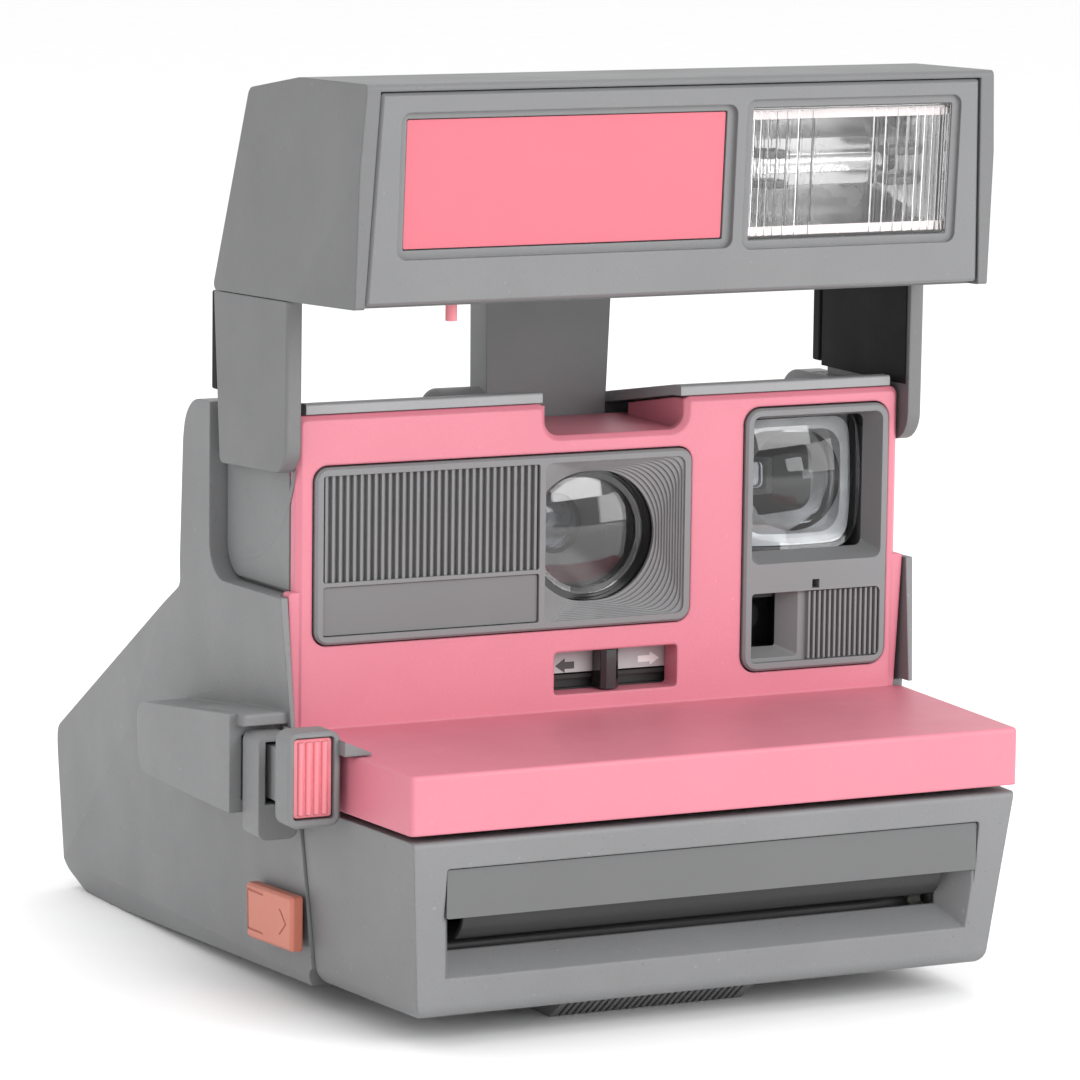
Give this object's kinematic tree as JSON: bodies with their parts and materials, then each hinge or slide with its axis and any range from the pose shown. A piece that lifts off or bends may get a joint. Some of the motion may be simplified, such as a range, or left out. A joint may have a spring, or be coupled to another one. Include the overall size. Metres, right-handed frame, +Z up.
{
  "type": "instant camera",
  "caption": "Box-type instant camera in grey and pink: folding flash unit on two arms, front shelf, film door with rollers and exit slot, side shutter button.",
  "frame": {"origin": "bottom centre of the whole camera's box, with the flash unit raised", "axes": "+X across to the right seen from the front, +Y from the front to the back, +Z up"},
  "size_m": [0.1282, 0.1494, 0.1547],
  "materials": {
    "housing_grey": "fine spark-eroded grain",
    "flash_grey": "fine spark-eroded grain",
    "trim_grey": "smooth satin",
    "pink": "satin, very fine grain",
    "label_pink": "smooth satin foil",
    "coral": "satin",
    "orange": "satin",
    "dark_grey": "satin",
    "black": "matt",
    "satin_plate": "brushed satin foil",
    "clear": "clear acrylic",
    "lens_glass": "coated lens",
    "mirror": "front-silvered",
    "bright_metal": "vacuum metallised",
    "steel": "ground",
    "rubber": "matt rubber",
    "board": "circuit board",
    "white_plastic": "satin"
  },
  "bodies": {
    "camera_body": {"rear_housing": "housing_grey", "top_cover": "trim_grey", "front_fascia": "pink", "lens_bezel": "trim_grey", "lens_trim_plate": "satin_plate", "lens_cone": "black", "cover_lens": "clear", "taking_lens": "lens_glass", "shutter_housing": "black", "blade_magnet": "steel", "finder_bezel": "trim_grey", "finder_front_lens": "clear", "finder_tube": "black", "eyepiece": "housing_grey", "eye_lens": "clear", "meter_cell": "black", "scale_plate": "trim_grey", "slider_rail": "black", "button_bracket": "housing_grey", "door_hinge_pin": "steel", "latch_spring": "steel", "hinge_axle": "steel", "axle_bracket": "black", "film_chamber": "black", "battery_contacts": "steel", "mirror_plate": "mirror", "motor": "steel", "gear_plate": "black", "circuit_board": "board", "button_spring": "steel"},
    "flash_unit": {"flash_rear_shell": "flash_grey", "flash_front_panel": "trim_grey", "flash_label": "label_pink", "flash_window": "clear", "flash_reflector": "bright_metal", "flash_tube": "clear", "flash_capacitor": "black", "flash_board": "board", "left_arm": "flash_grey", "right_arm": "flash_grey", "centre_post": "dark_grey", "interlock_pin": "coral"},
    "film_door": {"film_door": "housing_grey", "door_trim_plate": "satin_plate", "roller_frame": "steel", "door_foot": "rubber"},
    "exit_flap": {"exit_flap": "dark_grey"},
    "upper_roller": {"upper_roller": "steel", "upper_roller_gear": "white_plastic"},
    "lower_roller": {"lower_roller": "steel", "lower_roller_gear": "white_plastic"},
    "door_latch": {"door_latch": "orange"},
    "shutter_button": {"shutter_button": "coral"},
    "override_button": {"override_button": "trim_grey"},
    "exposure_slider": {"exposure_slider": "black"},
    "shutter_blade_left": {"shutter_blade_left": "steel"},
    "shutter_blade_right": {"shutter_blade_right": "steel"},
    "motor_pinion": {"motor_pinion": "white_plastic"},
    "drive_wheel": {"drive_wheel": "white_plastic"},
    "pick_arm": {"pick_arm": "steel"}
  },
  "joints": [
    {"name": "flash_fold", "type": "hinge", "parent": "camera_body", "child": "flash_unit", "pos_m": [0.0041, -0.0102, 0.093], "axis": [1, 0, 0], "range_deg": [0, 85]},
    {"name": "door_swing", "type": "hinge", "parent": "camera_body", "child": "film_door", "pos_m": [0.0041, -0.0383, 0.0056], "axis": [1, 0, 0], "range_deg": [0, 75]},
    {"name": "flap_swing", "type": "hinge", "parent": "film_door", "child": "exit_flap", "pos_m": [0.0041, -0.0691, 0.0242], "axis": [-1, 0, 0], "range_deg": [0, 45], "stiffness_Nm_per_rad": 0.002},
    {"name": "upper_roller_turn", "type": "hinge", "parent": "film_door", "child": "upper_roller", "pos_m": [0.0041, -0.0547, 0.0221], "axis": [1, 0, 0], "continuous": true},
    {"name": "lower_roller_turn", "type": "hinge", "parent": "film_door", "child": "lower_roller", "pos_m": [0.0041, -0.0547, 0.0131], "axis": [1, 0, 0], "continuous": true},
    {"name": "latch_slide", "type": "slide", "parent": "camera_body", "child": "door_latch", "axis": [0, -1, 0], "range_m": [0, 0.003], "stiffness_N_per_m": 150, "springref_m": -0.001},
    {"name": "shutter_press", "type": "slide", "parent": "camera_body", "child": "shutter_button", "axis": [0, 1, 0], "range_m": [0, 0.0015], "stiffness_N_per_m": 200, "springref_m": -0.001, "deforming": ["button_spring"]},
    {"name": "override_press", "type": "slide", "parent": "camera_body", "child": "override_button", "axis": [0, 1, 0], "range_m": [0, 0.002], "stiffness_N_per_m": 200, "springref_m": -0.001},
    {"name": "exposure_slide", "type": "slide", "parent": "camera_body", "child": "exposure_slider", "axis": [1, 0, 0], "range_m": [-0.008, 0.009]},
    {"name": "blade_left_slide", "type": "slide", "parent": "camera_body", "child": "shutter_blade_left", "axis": [1, 0, 0], "range_m": [-0.005, 0]},
    {"name": "blade_right_slide", "type": "slide", "parent": "camera_body", "child": "shutter_blade_right", "axis": [1, 0, 0], "range_m": [0, 0.005]},
    {"name": "pinion_turn", "type": "hinge", "parent": "camera_body", "child": "motor_pinion", "pos_m": [0.0041, -0.0187, 0.04], "axis": [1, 0, 0], "continuous": true},
    {"name": "wheel_turn", "type": "hinge", "parent": "camera_body", "child": "drive_wheel", "pos_m": [0.0041, -0.0067, 0.04], "axis": [1, 0, 0], "continuous": true},
    {"name": "pick_slide", "type": "slide", "parent": "camera_body", "child": "pick_arm", "axis": [0, -1, 0], "range_m": [0, 0.008]}
  ],
  "couplings": [
    {"joint": "lower_roller_turn", "follows": "upper_roller_turn", "ratio": -1},
    {"joint": "blade_right_slide", "follows": "blade_left_slide", "ratio": -1},
    {"joint": "pinion_turn", "follows": "wheel_turn", "ratio": -3}
  ]
}
